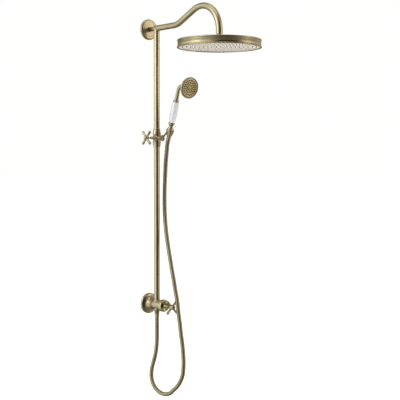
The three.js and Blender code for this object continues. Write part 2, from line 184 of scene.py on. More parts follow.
# Aged plated metal: cloudy patina, brushed lines, pale worn edges and painted shade in the hollows
def buildPatina():
    group, given, result = newGroup(
        "agedMetal",
        [
            ("Tone", color, (0.5, 0.45, 0.3, 1)),
            ("Patina And Shade", color, (0.3, 0.25, 0.12, 1)),
            ("Rubbed", color, (0.7, 0.6, 0.4, 1)),
            ("Cloud Scale", number, 30.0),
            ("Patina Share", number, 0.4),
            ("Brush", vector, (900.0, 900.0, 900.0)),
            ("Wear", number, 0.6),
            ("Base Roughness", number, 0.3),
        ],
        [("Color", color), ("Roughness", number), ("Height", number)],
    )
    place = nodeIn(group, "ShaderNodeTexCoord").outputs["Object"]
    cloud = ramp(group, noise(group, place, given["Cloud Scale"], 6.0, 0.62), 0.38, 0.68)
    stretch = nodeIn(group, "ShaderNodeVectorMath", operation="MULTIPLY")
    feed(group, stretch.inputs[0], place)
    feed(group, stretch.inputs[1], given["Brush"])
    lines = noise(group, stretch.outputs[0], 1.0, 4.0, 0.6)
    specks = ramp(group, noise(group, place, 900.0, 2.0, 0.7), 0.66, 0.8)
    sharpness = nodeIn(group, "ShaderNodeNewGeometry").outputs["Pointiness"]
    edge = maths(group, "MULTIPLY", ramp(group, sharpness, 0.508, 0.56), given["Wear"])
    # painted shade: the hollows are darkened towards the dark patina colour
    hollow = ramp(group, sharpness, 0.49, 0.44)
    clouds = maths(group, "MULTIPLY", cloud, given["Patina Share"])
    aged = mixed(group, clouds, given["Tone"], given["Patina And Shade"])
    lined = mixed(group, ramp(group, lines, 0.45, 0.75, 0.0, 0.1), aged, given["Patina And Shade"])
    flecked = mixed(group, maths(group, "MULTIPLY", specks, 0.16), lined, given["Patina And Shade"])
    darkened = mixed(group, maths(group, "MULTIPLY", hollow, 0.7), flecked, given["Patina And Shade"])
    feed(group, result["Color"], mixed(group, edge, darkened, given["Rubbed"]))
    uneven = maths(group, "ADD", given["Base Roughness"], ramp(group, lines, 0.3, 0.7, -0.025, 0.035))
    clouded = maths(group, "ADD", uneven, maths(group, "MULTIPLY", cloud, 0.07))
    feed(group, result["Roughness"], maths(group, "SUBTRACT", clouded, maths(group, "MULTIPLY", edge, 0.06)))
    feed(group, result["Height"], maths(group, "SUBTRACT", lines, maths(group, "MULTIPLY", specks, 0.6)))
    return group


# Moulded or fired non-metal: faint mottling, fine grain and dust in the hollows
def buildMould():
    group, given, result = newGroup(
        "mouldedSkin",
        [
            ("Tone", color, (0.8, 0.8, 0.8, 1)),
            ("Mottle", color, (0.7, 0.7, 0.7, 1)),
            ("Grime", color, (0.3, 0.28, 0.25, 1)),
            ("Grain Scale", number, 900.0),
            ("Mottle Scale", number, 40.0),
            ("Base Roughness", number, 0.5),
        ],
        [("Color", color), ("Roughness", number), ("Height", number)],
    )
    place = nodeIn(group, "ShaderNodeTexCoord").outputs["Object"]
    grain = noise(group, place, given["Grain Scale"], 3.0, 0.6)
    cloud = ramp(group, noise(group, place, given["Mottle Scale"], 5.0, 0.6), 0.4, 0.7)
    hollow = ramp(group, nodeIn(group, "ShaderNodeNewGeometry").outputs["Pointiness"], 0.485, 0.43)
    mottled = mixed(group, maths(group, "MULTIPLY", cloud, 0.5), given["Tone"], given["Mottle"])
    feed(group, result["Color"], mixed(group, maths(group, "MULTIPLY", hollow, 0.5), mottled, given["Grime"]))
    feed(group, result["Roughness"], maths(group, "ADD", given["Base Roughness"],
        ramp(group, cloud, 0, 1, -0.02, 0.04)))
    feed(group, result["Height"], grain)
    return group


agedMetal = buildPatina()
mouldedSkin = buildMould()


def material(name, group, values, metallic=0.0, bump=0.05, depth=0.00005, coat=0.0, specular=0.5):
    made = bpy.data.materials.new(name)
    made.use_nodes = True
    tree = made.node_tree
    shader = tree.nodes["Principled BSDF"]
    shader.inputs["Metallic"].default_value = metallic
    shader.inputs["Coat Weight"].default_value = coat
    shader.inputs["Coat Roughness"].default_value = 0.08
    shader.inputs["Specular IOR Level"].default_value = specular
    skin = nodeIn(tree, "ShaderNodeGroup", node_tree=group)
    for label, value in values.items():
        skin.inputs[label].default_value = value
    rough = nodeIn(tree, "ShaderNodeBump")
    rough.inputs["Strength"].default_value = bump
    rough.inputs["Distance"].default_value = depth
    feed(tree, rough.inputs["Height"], skin.outputs["Height"])
    feed(tree, shader.inputs["Base Color"], skin.outputs["Color"])
    feed(tree, shader.inputs["Roughness"], skin.outputs["Roughness"])
    feed(tree, shader.inputs["Normal"], rough.outputs["Normal"])
    return made


brassLook = {
    "Tone": (0.47, 0.405, 0.245, 1),
    "Patina And Shade": (0.23, 0.185, 0.09, 1),
    "Rubbed": (0.64, 0.56, 0.38, 1),
    "Cloud Scale": 14.0,
    "Patina Share": 0.3,
    "Brush": (1100.0, 1100.0, 1100.0),
    "Wear": 0.65,
    "Base Roughness": 0.29,
}
antiqueBrass = material("antiqueBrass", agedMetal, brassLook, 1.0)
riserBrass = material("riserBrass", agedMetal, {**brassLook, "Brush": (700.0, 700.0, 12.0),
    "Cloud Scale": 9.0}, 1.0)
turnedBrass = material("turnedBrass", agedMetal, {**brassLook, "Brush": (60.0, 60.0, 2200.0)}, 1.0)
shadedBrass = material(
    "shadedBrass",
    agedMetal,
    {**brassLook, "Tone": (0.25, 0.21, 0.12, 1), "Patina And Shade": (0.11, 0.09, 0.045, 1), "Patina Share": 0.5},
    1.0,
)
goldenBrass = material(
    "goldenBrass",
    agedMetal,
    {**brassLook, "Tone": (0.52, 0.43, 0.20, 1), "Patina And Shade": (0.26, 0.2, 0.075, 1), "Patina Share": 0.4},
    1.0,
)
spiralJacket = material(
    "spiralJacket",
    agedMetal,
    {**brassLook, "Tone": (0.25, 0.215, 0.12, 1), "Patina And Shade": (0.09, 0.075, 0.038, 1), "Wear": 0.6,
     "Cloud Scale": 60.0, "Base Roughness": 0.34},
    1.0,
)
paleSprayPlate = material(
    "paleSprayPlate",
    agedMetal,
    {**brassLook, "Tone": (0.86, 0.82, 0.74, 1), "Patina And Shade": (0.70, 0.63, 0.52, 1),
        "Rubbed": (0.93, 0.9, 0.84, 1),
     "Patina Share": 0.3, "Base Roughness": 0.33},
    0.25,
)
zincSteel = material(
    "zincSteel",
    agedMetal,
    {**brassLook, "Tone": (0.55, 0.56, 0.57, 1), "Patina And Shade": (0.33, 0.33, 0.32, 1),
        "Rubbed": (0.75, 0.75, 0.76, 1)},
    1.0,
)
porcelainGlaze = material(
    "porcelainGlaze",
    mouldedSkin,
    {"Tone": (0.64, 0.635, 0.645, 1), "Mottle": (0.61, 0.605, 0.612, 1), "Grime": (0.55, 0.53, 0.48, 1),
     "Grain Scale": 90.0, "Mottle Scale": 12.0, "Base Roughness": 0.1},
    bump=0.008, coat=1.0, specular=1.0,
)
nozzleSilicone = material(
    "nozzleSilicone",
    mouldedSkin,
    {"Tone": (0.035, 0.03, 0.018, 1), "Mottle": (0.055, 0.045, 0.03, 1), "Grime": (0.02, 0.018, 0.012, 1),
     "Base Roughness": 0.55},
    bump=0.25,
)
blackRubber = material(
    "blackRubber",
    mouldedSkin,
    {"Tone": (0.03, 0.028, 0.025, 1), "Mottle": (0.05, 0.047, 0.042, 1), "Grime": (0.09, 0.085, 0.075, 1),
     "Base Roughness": 0.62},
    bump=0.4,
)
whiteNylon = material(
    "whiteNylon",
    mouldedSkin,
    {"Tone": (0.74, 0.71, 0.62, 1), "Mottle": (0.66, 0.62, 0.52, 1), "Base Roughness": 0.48},
    bump=0.3,
)
groundCeramic = material(
    "groundCeramic",
    mouldedSkin,
    {"Tone": (0.88, 0.88, 0.87, 1), "Mottle": (0.8, 0.8, 0.79, 1), "Grain Scale": 3000.0,
        "Base Roughness": 0.3},
)
redFibre = material(
    "redFibre",
    mouldedSkin,
    {"Tone": (0.22, 0.07, 0.035, 1), "Mottle": (0.14, 0.04, 0.02, 1), "Grain Scale": 1600.0,
        "Base Roughness": 0.8},
    bump=0.6,
)
print("materials made")


def wallFrame(height):
    return Matrix.Translation((0, 0, height)) @ Matrix.Rotation(math.radians(90), 4, "X")


def upright(x, y, z=0.0):
    return Matrix.Translation((x, y, z))


toLeft = Matrix.Rotation(math.radians(-90), 4, "Y")
toRight = Matrix.Rotation(math.radians(90), 4, "Y")


def eased(outline, radius, steps=3):
    points = [Vector(point) for point in outline]
    result = []
    for index, point in enumerate(points):
        before = points[index - 1] - point
        after = points[(index + 1) % len(points)] - point
        onAxis = point.x < 1e-6
        if onAxis or before.length < 1e-6 or after.length < 1e-6:
            result.append(point)
            continue
        bend = math.pi - before.angle(after)
        cut = min(radius, 0.4 * before.length, 0.4 * after.length)
        if bend < math.radians(14) or cut < 0.02:
            result.append(point)
            continue
        start = point + before.normalized() * cut
        end = point + after.normalized() * cut
        for step in range(steps + 1):
            share = step / steps
            result.append(start * (1 - share) ** 2 + point * (2 * share * (1 - share)) + end * share ** 2)
    return result


# Smooth line through a few outline points
def throughPoints(points, steps=6):
    spots = [Vector(point) for point in points]
    line = [2 * spots[0] - spots[1]] + spots + [2 * spots[-1] - spots[-2]]
    result = []
    for index in range(1, len(line) - 2):
        a, b, c, d = line[index - 1:index + 3]
        for step in range(steps):
            t = step / steps
            result.append(
                0.5 * (2 * b + (c - a) * t + (2 * a - 5 * b + 4 * c - d) * t ** 2
                       + (3 * b - a - 3 * c + d) * t ** 3)
            )
    result.append(spots[-1])
    return [tuple(point) for point in result]


def meshOf(name, vertices, faces):
    mesh = bpy.data.meshes.new(name)
    mesh.from_pydata([tuple(v) for v in vertices], [], faces)
    mesh.validate()
    return mesh


# Outline turned about local +Z; flutes is (count, depth, low, high) for a grooved band
def turned(name, outline, place, sides=96, ease=0.35, flutes=None):
    points = eased(outline, ease) if ease else [Vector(point) for point in outline]
    area = sum(a.x * b.y - b.x * a.y for a, b in zip(points, points[1:] + points[:1]))
    if area < 0:
        points.reverse()
    vertices = []
    rows = []
    widest = max(point.x for point in points)
    count, depth, bandLow, bandHigh = flutes or (0, 0, 0, 0)
    for point in points:
        if point.x < 1e-6:
            rows.append([len(vertices)] * sides)
            vertices.append(place @ Vector((0, 0, point.y * mm)))
            continue
        row = []
        for step in range(sides):
            angle = 2 * math.pi * step / sides
            radius = point.x
            if flutes and bandLow < point.y < bandHigh and point.x > 0.86 * widest:
                radius -= depth * (0.5 + 0.5 * math.cos(count * angle)) ** 2
            row.append(len(vertices))
            spot = Vector((radius * math.cos(angle), radius * math.sin(angle), point.y))
            vertices.append(place @ (spot * mm))
        rows.append(row)
    faces = []
    for index, low in enumerate(rows):
        high = rows[(index + 1) % len(rows)]
        for step in range(sides):
            after = (step + 1) % sides
            corners = [low[step], low[after], high[after], high[step]]
            distinct = list(dict.fromkeys(corners))
            if len(distinct) > 2:
                faces.append(distinct)
    return meshOf(name, vertices, faces)


# Tube along a line of points, in metres; radiusAt gives the radius at each point and angle
def swept(name, line, radiusAt, sides, bore=0.0, side=Vector((1, 0, 0)), first=0):
    rings = []
    normal = side
    for index, point in enumerate(line):
        tangent = (line[min(index + 1, len(line) - 1)] - line[max(index - 1, 0)]).normalized()
        normal = (normal - tangent * normal.dot(tangent)).normalized()
        rings.append((point, normal.copy(), tangent.cross(normal)))
    vertices = []
    rows = []

    def addRow(ring, radius):
        point, across, up = ring
        row = []
        for step in range(sides):
            angle = 2 * math.pi * step / sides
            reach = radius(angle)
            row.append(len(vertices))
            vertices.append(point + across * (reach * math.cos(angle)) + up * (reach * math.sin(angle)))
        rows.append(row)

    for index, ring in enumerate(rings):
        addRow(ring, lambda angle, index=index: radiusAt(first + index, angle))
    if bore:
        for ring in reversed(rings):
            addRow(ring, lambda angle: bore)
    faces = []
    last = len(rows) if bore else len(rows) - 1
    for index in range(last):
        low, high = rows[index], rows[(index + 1) % len(rows)]
        for step in range(sides):
            after = (step + 1) % sides
            faces.append([low[step], low[after], high[after], high[step]])
    if not bore:
        faces.append(list(reversed(rows[0])))
        faces.append(rows[-1])
    return meshOf(name, vertices, faces)


def looseObject(name, mesh):
    item = bpy.data.objects.new(name, mesh)
    bpy.context.scene.collection.objects.link(item)
    return item


def finalMesh(item, name):
    graph = bpy.context.evaluated_depsgraph_get()
    mesh = bpy.data.meshes.new_from_object(item.evaluated_get(graph))
    mesh.name = name
    return mesh


def joinedMeshes(name, meshes):
    vertices = []
    faces = []
    for mesh in meshes:
        start = len(vertices)
        vertices += [vertex.co.copy() for vertex in mesh.vertices]
        faces += [[start + corner for corner in face.vertices] for face in mesh.polygons]
        bpy.data.meshes.remove(mesh)
    return meshOf(name, vertices, faces)


# The item's final mesh once the bores are cut from it; the item and the bores are used up
def cutBy(item, bores, name):
    tools = [looseObject("tool", bore) for bore in bores]
    for tool in tools:
        cut = item.modifiers.new("bore", "BOOLEAN")
        cut.operation = "DIFFERENCE"
        cut.solver = "EXACT"
        cut.object = tool
    mesh = finalMesh(item, name)
    for used in [item] + tools:
        bpy.data.objects.remove(used)
    return mesh


# Casting: parts run together with soft corners where they meet, then bored
def cast(name, parts, bores=(), voxel=0.5, smoothing=4):
    item = looseObject(name, joinedMeshes(name, parts))
    remesh = item.modifiers.new("skin", "REMESH")
    remesh.mode = "VOXEL"
    remesh.voxel_size = voxel * mm
    soften = item.modifiers.new("soften", "SMOOTH")
    soften.factor = 0.5
    soften.iterations = smoothing
    return cutBy(item, bores, name)


def bored(name, mesh, bores):
    return cutBy(looseObject(name, mesh), bores, name)


# A piece that bends between two bodies is given no body here
def makePiece(name, mesh, body, nodes, finish, sharp=40):
    mesh.materials.clear()
    mesh.materials.append(finish)
    mesh.shade_smooth()
    mesh.set_sharp_from_angle(angle=math.radians(sharp))
    item = looseObject(name, mesh)
    if body:
        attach(item, body)
    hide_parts(*nodes)
    return item


def turnedPiece(name, outline, place, sides, ease, body, node, finish, flutes=None):
    return makePiece(name, turned(name, outline, place, sides, ease, flutes), body, [node], finish)


def disc(radius, low, high):
    return [(0, low), (radius, low), (radius, high), (0, high)]


def collar(inner, outer, low, high):
    return [(inner, low), (outer, low), (outer, high), (inner, high)]


hose = {
    "radius": 8.0,
    "pitch": 3.2,  # of the spiral
    "groove": 0.6,
    "step": 0.5,  # between rings of the mesh
    "sides": 20,
    "route": [
        (0, -53, -52.3), (0, -53, -80), (0, -53, -110), (-1, -53.5, -140), (-3, -53, -168),
        (-5, -48.5, -196), (-8, -41, -224.5), (-10, -33, -251), (-11, -32.5, -286.5), (-11, -45, -312),
        (-9, -61.5, -328), (-6, -80.5, -337), (-3, -106, -339.5), (0, -131.5, -332), (2, -154.5, -315),
        (4, -174.5, -297.5), (6, -190, -276.5), (8, -200.5, -254), (9, -204.5, -228), (10, -204.5, -198),
        (10, -202, -168), (10, -197, -135), (9, -190.5, -99), (9, -184, -62), (8, -177.5, -25),
        (8, -167.5, 30), (9, -155.5, 67), (10, -145, 103), (12, -131.5, 140), (14, -117, 184),
        (19.5, -97.5, 232), (23.5, -80.5, 289), (28, -67.5, 346), (31, -61.5, 404), (34, -59, 462),
        (35.5, -61, 518), (33, -68, 560), (30, -77.2, 595),
    ],
    "tail": (-26, -8.3),  # the route's last points, along the hand shower's axis
    # heights where one length ends and the next starts
    "dropEnd": -270,
    "loopEnd": -200,
    "holderLow": 270,
    "cradleLow": 380,
    "handsetLow": 490,
    "loopOut": -200,  # how far from the wall the loop's far side stands
    "bendTop": -80,  # the first length starts to follow the holder here
}


# Centripetal curve through points, as closely spaced points
def smoothLine(points, spacing):
    ends = [2 * points[0] - points[1]] + points + [2 * points[-1] - points[-2]]
    dense = []
    for index in range(1, len(ends) - 2):
        a, b, c, d = ends[index - 1:index + 3]
        times = [0.0]
        for p, q in ((a, b), (b, c), (c, d)):
            times.append(times[-1] + math.sqrt((q - p).length))
        steps = 60
        for step in range(steps):
            t = times[1] + (times[2] - times[1]) * step / steps

            def between(p, q, start, end):
                return p * ((end - t) / (end - start)) + q * ((t - start) / (end - start))

            ab = between(a, b, times[0], times[1])
            bc = between(b, c, times[1], times[2])
            cd = between(c, d, times[2], times[3])
            abc = between(ab, bc, times[0], times[2])
            bcd = between(bc, cd, times[1], times[3])
            dense.append(between(abc, bcd, times[1], times[2]))
    dense.append(points[-1].copy())
    line = [dense[0]]
    left = spacing
    for p, q in zip(dense, dense[1:]):
        length = (q - p).length
        travelled = 0.0
        while length - travelled >= left:
            travelled += left
            line.append(p + (q - p) * (travelled / length))
            left = spacing
        left -= length - travelled
    if (line[-1] - dense[-1]).length > spacing / 3:
        line.append(dense[-1])
    return line


def hoseLine():
    route = [Vector(point) * mm for point in hose["route"]]
    route += [handsetFoot + handsetAxis * (along * mm) for along in hose["tail"]]
    return smoothLine(route, hose["step"] * mm)


def hoseRadius(index, angle):
    turn = index * hose["step"] / hose["pitch"] + angle / (2 * math.pi)
    groove = max(0.0, math.cos(2 * math.pi * turn)) ** 3
    return (hose["radius"] - hose["groove"] * groove) * mm


def firstAfter(line, start, test):
    return next(index for index in range(start, len(line)) if test(line[index]))


# Each length: name, last point, its two bodies, and where the bend starts and ends
def makeHose():
    line = hoseLine()
    drop = firstAfter(line, 0, lambda p: p.z < hose["dropEnd"] * mm)
    loop = firstAfter(line, drop, lambda p: p.y < hose["loopOut"] * mm and p.z > hose["loopEnd"] * mm)
    rise = firstAfter(line, loop, lambda p: p.z > hose["holderLow"] * mm)
    turn = firstAfter(line, rise, lambda p: p.z > hose["cradleLow"] * mm)
    tilt = firstAfter(line, turn, lambda p: p.z > hose["handsetLow"] * mm)
    top = len(line) - 1
    up = Vector((0, 0, mm))
    wide = Vector((60, 0, 0))
    holderLow, cradleLow, handsetLow = (up * hose[key] for key in ("holderLow", "cradleLow", "handsetLow"))
    # the loop stays at half the bend, so its neighbours reach half of it where they meet the loop
    firstEnd = up * (2 * hose["dropEnd"] - hose["bendTop"])
    riseStart = up * (2 * hose["loopEnd"] - hose["holderLow"])
    lengths = [
        ("hose_from_valve", drop, "column", "carriage", up * hose["bendTop"], firstEnd),
        ("hose_loop", loop, "column", "carriage", -wide, wide),  # halfway between the two all along
        ("hose_rise", rise, "column", "carriage", riseStart, holderLow),
        ("hose_below_holder", turn, "carriage", "holder", holderLow, cradleLow),
        ("hose_below_cradle", tilt, "holder", "cradle_arm", cradleLow, handsetLow),
        ("hose_to_handset", top, "cradle_arm", "hose_end", line[tilt], line[top]),
    ]
    start = 0
    made = []
    normal = Vector((1, 0, 0))
    for name, end, bodyA, bodyB, bendStart, bendEnd in lengths:
        part = line[start:end + 1]
        mesh = swept(name, part, hoseRadius, hose["sides"], side=normal, first=start)
        item = makePiece(name, mesh, None, ["hose"], spiralJacket, 60)
        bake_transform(item)
        measured = sum((q - p).length for p, q in zip(part, part[1:]))
        made.append((item, part, measured))
        for p, q in zip(part, part[1:]):
            tangent = (q - p).normalized()
            normal = (normal - tangent * normal.dot(tangent)).normalized()
        start = end
    return made


hoseLengths = makeHose()
print("hose made,", round(sum(length for _, _, length in hoseLengths), 3), "m")


valveDown = upright(riserAt.x, riserAt.y)
lowerNutOutline = (
    [(7.75, -34.9), (9.2, -34.9), (9.2, -36.3), (8.7, -36.8), (8.7, -37.4), (9.2, -38), (9.2, -43.6)]
    + throughPoints([(9.1, -44.4), (8.7, -46.6), (8.5, -49.4), (8.4, -52)], 4)
    + [(7.2, -52.1), (7.2, -37.2), (7.75, -37.2)]
)
lowerNut = turnedPiece(
    "hose_nut_at_valve", lowerNutOutline, valveDown, 120, 0.3, "column", "hose_lower_nut",
    antiqueBrass, (20, 0.6, -43.6, -38.2),
)
handsetFrame = Matrix.Translation(handsetFoot) @ Matrix.Rotation(handsetLean, 4, "X")
upperNutOutline = (
    [(7.2, -8), (8.4, -8), (8.5, -6.8), (8.2, -5.8), (8.3, 5.6), (8.8, 8)]
    + [(9.7, 13.2), (9.4, 13.7), (9.6, 14.2), (10.1, 14.9), (12, 26.4), (12, 27), (7, 27), (7, 14), (4.6, 14)]
    + [(4.6, -6.4), (7.2, -6.4)]
)
upperNut = turnedPiece(
    "hose_nut_at_handset", upperNutOutline, handsetFrame, 96, 0.3, "hose_end", "hose_upper_nut",
    antiqueBrass,
)

upperRose = {
    "radius": 40.0,
    "inner": 37.5,
    "stemHole": 8.4,
    "dome": [(39.2, 6.3), (37.6, 8.2), (35.2, 9.4), (32.6, 9.9)],
}
wallTop = wallFrame(roseHeight)
roseOutline = (
    [(upperRose["inner"], 0), (upperRose["radius"], 0), (upperRose["radius"], 3.2), (39.5, 3.7), (39.5, 4.3)]
    + throughPoints(upperRose["dome"])
    + [(28, 10), (27.6, 9.7), (27, 9.7), (26.6, 10), (10.6, 10), (10.2, 9.6), (8.4, 9.6)]
    + [(upperRose["stemHole"], 8), (32.5, 8), (36.3, 5.8), (37.5, 3)]
)
turnedPiece(
    "upper_rose", roseOutline, wallTop, 128, 0.35, "column", "upper_wall_rose", antiqueBrass,
)
stemOutline = [
    (5.4, 4.4), (8, 4.4), (8, 38.2), (7.6, 38.6), (7.6, 39.4), (8, 39.8), (8, 41.1), (5, 41.1),
    (5, 45.5), (0, 45.5), (0, 22), (5.4, 22),
]
grubPlace = wallTop @ Matrix.Translation((0, 0, 15 * mm)) @ Matrix.Rotation(math.radians(-90), 4, "X")
stemMesh = bored(
    "rose_stem",
    turned("rose_stem", stemOutline, wallTop),
    [turned("hole", disc(2.2, 1, 12), grubPlace @ Matrix.Rotation(math.radians(180), 4, "X"), 32, 0)],
)
makePiece("rose_stem", stemMesh, "column", ["upper_stem"], antiqueBrass)

teeFrame = upright(riserAt.x, riserAt.y, roseHeight)
teeBarrel = turned(
    "barrel",
    [(0, 41.4), (10.3, 41.4), (11.4, 42.6), (11.4, 60.4), (11.9, 61.2), (11.9, 65.2), (11.4, 66), (0, 66)],
    wallTop, 96, 0.3,
)
teeStub = turned("stub", [(0, 0), (11.2, 0), (11.2, -11), (11.7, -11.8), (11.7, -14.4), (11.2, -15),
    (0, -15)], teeFrame, 96, 0.3)
teeSpigot = turned(
    "spigot", [(0, -14), (9, -14), (9, -20), (7.4, -20), (7.4, -22.8), (9, -22.8), (9, -30), (0, -30)],
    teeFrame, 64, 0.3
)
teeMesh = cast(
    "riser_tee",
    [teeBarrel, teeStub, teeSpigot],
    [
        turned("bore", disc(5.3, 41, 50), wallTop, 48, 0),
        turned("bore", disc(8.9, 45.8, 67), wallTop, 64, 0),
        turned("bore", disc(6.3, -31, 0), teeFrame, 48, 0),
    ],
)
makePiece("tee_fitting", teeMesh, "column", ["riser_tee"], antiqueBrass, 50)

riserLow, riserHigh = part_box("riser_pipe")
riserOutline = collar(9.9, 11.2, riserLow.z / mm, riserHigh.z / mm)
turnedPiece("riser_tube", riserOutline, valveDown, 96, 0.25, "column", "riser_pipe", riserBrass)

arm = {
    "start": 66.3,  # from the wall
    "run": 158.0,  # where the level run starts to rise
    "bend": 100.0,
    "slope": 24.5,
    "end": 1009.5,
    "radius": 11.2,
    "endRadius": 12.3,  # it swells slightly past the crest
    "swellFrom": 108,  # ring of the mesh where that starts
    "swellOver": 40,
    "bore": 9.0,
}


def armLine():
    bend, slope = arm["bend"], math.radians(arm["slope"])
    reach, height = -headSpin.y / mm, roseHeight / mm
    riseStart = arm["run"] + bend * math.sin(slope)
    riseStartUp = height + bend * (1 - math.cos(slope))
    crest = reach - bend
    riseEnd = crest - bend * math.sin(slope)
    riseEndUp = riseStartUp + (riseEnd - riseStart) * math.tan(slope)
    centre = riseEndUp - bend * math.cos(slope)
    points = []  # distance from the wall, height
    for step in range(40):
        points.append((arm["start"] + (arm["run"] - arm["start"]) * step / 40, height))
    for step in range(20):
        angle = slope * step / 20
        points.append((arm["run"] + bend * math.sin(angle), height + bend * (1 - math.cos(angle))))
    for step in range(40):
        share = step / 40
        up = riseStartUp + (riseEndUp - riseStartUp) * share
        points.append((riseStart + (riseEnd - riseStart) * share, up))
    for step in range(81):
        angle = -slope + (slope + math.pi / 2) * step / 80
        points.append((crest + bend * math.sin(angle), centre + bend * math.cos(angle)))
    for step in range(1, 7):
        points.append((reach, centre + (arm["end"] - centre) * step / 6))
    return [Vector((0, -out, up)) * mm for out, up in points]


def armRadius(index, angle):
    share = min(1.0, max(0.0, (index - arm["swellFrom"]) / arm["swellOver"]))
    share = share * share * (3 - 2 * share)
    ends = 0.25 if index in (0, len(armPoints) - 1) else 0.0
    return (arm["radius"] + (arm["endRadius"] - arm["radius"]) * share - ends) * mm


armPoints = armLine()
makePiece(
    "swan_neck", swept("swan_neck", armPoints, armRadius, 72, arm["bore"] * mm), "column", ["swan_neck_arm"],
    antiqueBrass,
)
print("upper support, riser and arm made")

headFrame = upright(headSpin.x, headSpin.y)
ballAt = headSpin.z / mm
ballOutline = [(3.5, ballAt + 26), (8.8, ballAt + 26), (8.8, ballAt + 12), (5.8, ballAt + 9.5)]
ballOutline += [
    (9 * math.sin(math.radians(angle)), ballAt + 9 * math.cos(math.radians(angle)))
    for angle in range(40, 158, 6)
]
ballOutline += [(3.5, ballAt - 8.29)]
turnedPiece(
    "swivel_ball_stem", ballOutline, headFrame, 64, 0.2, "swivel", "swivel_ball", antiqueBrass,
)
nutOutline = [
    (12.4, 991.4), (15, 991.4), (15, 992.6), (14.5, 993), (15, 993.4), (15, 1000.2), (11.5, 1004.2),
    (8.6, 1004.2), (9.4, 1001), (9.6, 998.5), (12.4, 997.2),
]
turnedPiece(
    "swivel_nut", nutOutline, headFrame, 144, 0.3, "rain_head", "ball_nut", antiqueBrass,
    (24, 0.8, 993.5, 1000),
)
headSide = [
    (149.4, 963.5), (149.7, 970.2), (149.2, 971.8), (147.5, 972.8), (146.9, 974.2), (147.5, 975.6),
    (149.3, 976.4),
    (149.9, 977.8), (149.3, 979.2), (147.9, 980.0), (147.5, 981.2),
]
shellOutline = (
    [(147.6, 963.5)] + headSide + [(148.2, 982.2), (150.2, 983.2), (150.9, 985.0), (150.4, 986.8),
        (148.8, 987.6)]
    + [(146, 988), (120, 988), (119.3, 987.5), (118.2, 987.5), (117.5, 988), (60, 988), (59.3, 987.5),
        (58.2, 987.5)]
    + [(57.5, 988), (24, 988)]
    + throughPoints([(22.5, 988.2), (20.5, 989.4), (19.4, 991)], 4)
    + [(12, 991), (12, 993.2), (9.5, 993.2), (9.5, 986.4), (144.4, 986.4), (145.2, 985), (145.2, 970.6),
        (147.6, 969.4)]
)
turnedPiece(
    "head_casing", shellOutline, headFrame, 240, 0.35, "rain_head", "head_shell", turnedBrass,
)
rimOutline = (
    [(145, 959.4), (146.2, 959), (149.6, 959)]
    + throughPoints([(150.6, 959.1), (151.7, 959.7), (152, 960.7), (151.3, 962.2), (150.2, 963.2)], 4)
    + [(147.4, 963.2), (147.4, 962.2), (145, 962.2)]
)
turnedPiece("head_rim", rimOutline, headFrame, 240, 0.2, "rain_head", "head_rim_ring", turnedBrass)
plateSteps = []  # shallow rings pressed into the plate
for radius in (45.5, 97.5, 140.5):
    plateSteps += [(radius - 0.8, 962.3), (radius, 962.9), (radius + 0.8, 962.3)]
plateOutline = [(0, 962.3)] + plateSteps + [(146.8, 962.3), (146.8, 964.3), (0, 964.3)]
turnedPiece(
    "head_spray_plate", plateOutline, headFrame, 192, 0.2, "rain_head", "head_face_plate",
    paleSprayPlate,
)


# Small soft nozzles in rings on a back plate; each points along local z by way
def nozzleMat(name, place, mat, rings, root, tip, width, way):
    meshes = [turned(name, mat, place, 96, 0.2)]
    for radius, count in rings:
        for step in range(count):
            angle = 2 * math.pi * (step + (0.5 if round(radius) % 2 else 0)) / count
            across = radius * mm * math.cos(angle)
            spot = place @ Matrix.Translation((across, radius * mm * math.sin(angle), 0))
            outline = [
                (0, root), (width, root), (width, tip - way * 1.3), (0.72 * width, tip - way * 0.2),
                (0.5 * width, tip), (0.34 * width, tip - way * 0.1), (0.26 * width, tip - way * 0.9),
                (0, tip - way * 0.9),
            ]
            meshes.append(turned(name, outline, spot, 12, 0))
    return joinedMeshes(name, meshes)


headNozzles = {"spacing": 15.0, "inner": 13.0, "outer": 133.0, "width": 1.9}


def headRings():
    rings = []
    steps = round((headNozzles["outer"] - headNozzles["inner"]) / headNozzles["spacing"])
    for step in range(steps + 1):
        radius = headNozzles["inner"] + (headNozzles["outer"] - headNozzles["inner"]) * step / steps
        rings.append((radius, round(2 * math.pi * radius / headNozzles["spacing"])))
    return rings


headMat = nozzleMat(
    "head_nozzles", headFrame, disc(140.4, 964.6, 966.8), headRings(), 964.8, 961.0, headNozzles["width"], -1
)
makePiece("head_nozzles", headMat, "rain_head", ["head_nozzle_mat"], nozzleSilicone, 50)
print("rain head made")

wallLow = wallFrame(0.0)
bellOuter = throughPoints(
    [(38.7, 7.0), (36.4, 8.9), (33, 10.3), (28.8, 12.6), (24.4, 17.2), (21.6, 23), (20.3, 29), (19.9, 34)], 5
)
bellInner = throughPoints([(18.6, 36), (18.6, 31), (19.5, 24.5), (22.4, 16.8), (28, 11.2), (34, 8),
    (36.6, 5.8)], 4)
lowerRoseOutline = (
    [(37.5, 0), (40, 0), (40, 3.6), (39.4, 4.2), (39.4, 5.2)] + bellOuter
    + [(19.9, 34.4), (20.4, 35), (20.4, 37), (19.9, 37.8), (18.6, 37.8)] + bellInner + [(37.5, 3)]
)
turnedPiece(
    "lower_rose", lowerRoseOutline, wallLow, 128, 0.25, "column", "lower_wall_rose",
    antiqueBrass,
)
bodyOutline = [
    (0, 24), (17, 24), (18, 25), (18, 39), (18, 66), (17.6, 66.5), (17.6, 67.5), (18, 68), (18, 80),
    (17.5, 80.6),
    (17.5, 81.6), (18, 82.2), (18, 85.4), (0, 85.4),
]
outletBoss = [(0, 0), (10.8, 0), (10.8, -17.6), (11.2, -18.2), (11.2, -20.4), (10.8, -21), (0, -21)]
pipeSocket = [(0, 0), (13.2, 0), (13.2, 17.4), (12.6, 18.6), (0, 18.6)]
